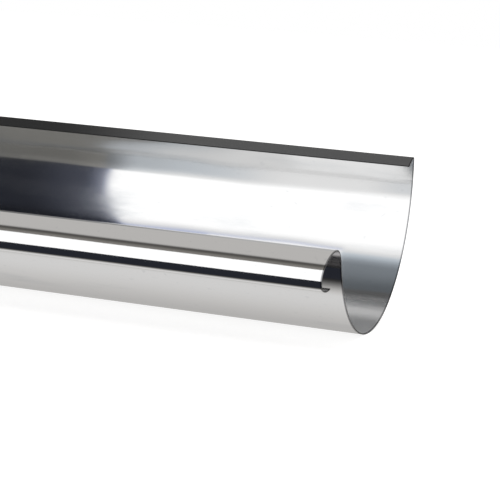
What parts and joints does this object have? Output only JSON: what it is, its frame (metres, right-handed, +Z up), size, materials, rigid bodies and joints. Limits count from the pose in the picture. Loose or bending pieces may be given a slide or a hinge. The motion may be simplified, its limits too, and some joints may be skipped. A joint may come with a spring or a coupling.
{
  "type": "half-round gutter",
  "caption": "Two-metre length of half-round eaves gutter in bright galvanised steel sheet, with an open rolled bead along its front edge and a folded-in water fold along its back edge.",
  "frame": {"origin": "middle of the box around the gutter, on the floor that it lies on", "axes": "+X along the gutter, +Y from the bead towards the back edge, +Z up"},
  "size_m": [2, 0.1389, 0.0786],
  "materials": {
    "galvanised_sheet": "bright zinc-coated, smooth, semi-mirror with fine rolling lines along the length"
  },
  "bodies": {
    "root": {"gutter": "galvanised_sheet"}
  },
  "joints": []
}
